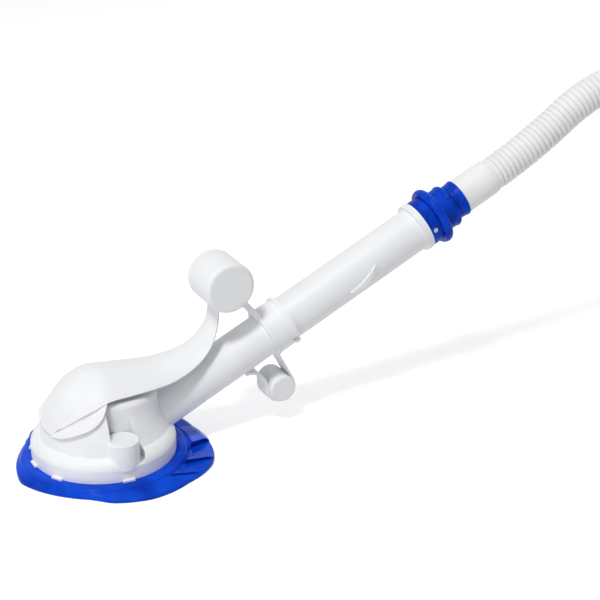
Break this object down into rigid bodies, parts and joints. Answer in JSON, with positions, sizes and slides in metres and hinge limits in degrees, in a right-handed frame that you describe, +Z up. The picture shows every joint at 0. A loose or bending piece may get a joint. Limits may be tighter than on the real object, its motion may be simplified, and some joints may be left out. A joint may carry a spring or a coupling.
{
  "type": "pool cleaner",
  "caption": "Suction pool cleaner: skirted round base, domed cover with a float arm, swinging valve, sloping tube, weight and a hose swivel carrying a ribbed hose length.",
  "frame": {"origin": "on the pool floor, under the middle of the cleaner's box measured without the hose", "axes": "+X from the head along the tube, +Y to the left of someone looking along +X, +Z up from the floor"},
  "size_m": [1.4831, 0.227, 0.385],
  "materials": {
    "white_plastic": "smooth moulded white plastic with a soft shine",
    "blue_vinyl": "soft glossy blue vinyl sheet",
    "blue_plastic": "smooth moulded blue plastic",
    "grey_rubber": "matt dark grey rubber",
    "bearing_plastic": "matt off-white bearing plastic",
    "steel": "plain stainless steel",
    "ballast": "rough cast bar",
    "hose_plastic": "ribbed white hose plastic"
  },
  "bodies": {
    "cleaner": {"skirt_disc": "blue_vinyl", "base_drum": "white_plastic", "foot_pad": "grey_rubber", "valve_housing": "white_plastic", "throat_plate": "white_plastic", "deck_screws": "steel", "shaft_bushes": "bearing_plastic", "front_seat": "grey_rubber", "rear_seat": "grey_rubber", "upper_tube": "white_plastic", "collar_seal": "grey_rubber", "inner_tube": "white_plastic", "swivel_base": "blue_plastic", "swivel_pins": "steel", "head_cover": "white_plastic", "float_shell": "white_plastic", "float_cap": "white_plastic", "weight_yoke": "white_plastic", "weight_shell": "white_plastic", "weight_cap": "white_plastic", "weight_slug": "ballast"},
    "valve": {"flapper": "grey_rubber", "flapper_shaft": "steel"},
    "swivel": {"swivel_sleeve": "blue_plastic", "swivel_seal": "grey_rubber", "hose_cuff": "hose_plastic", "hose": "hose_plastic", "far_cuff": "hose_plastic"}
  },
  "joints": [
    {"name": "valve_swing", "type": "hinge", "parent": "cleaner", "child": "valve", "pos_m": [-0.17513, 0, 0.074], "axis": [0, 1, 0], "range_deg": [-16, 16]},
    {"name": "swivel_spin", "type": "hinge", "parent": "cleaner", "child": "swivel", "pos_m": [0.22683, 0, 0.21314], "axis": [0.9026, 0, 0.4305], "continuous": true}
  ]
}
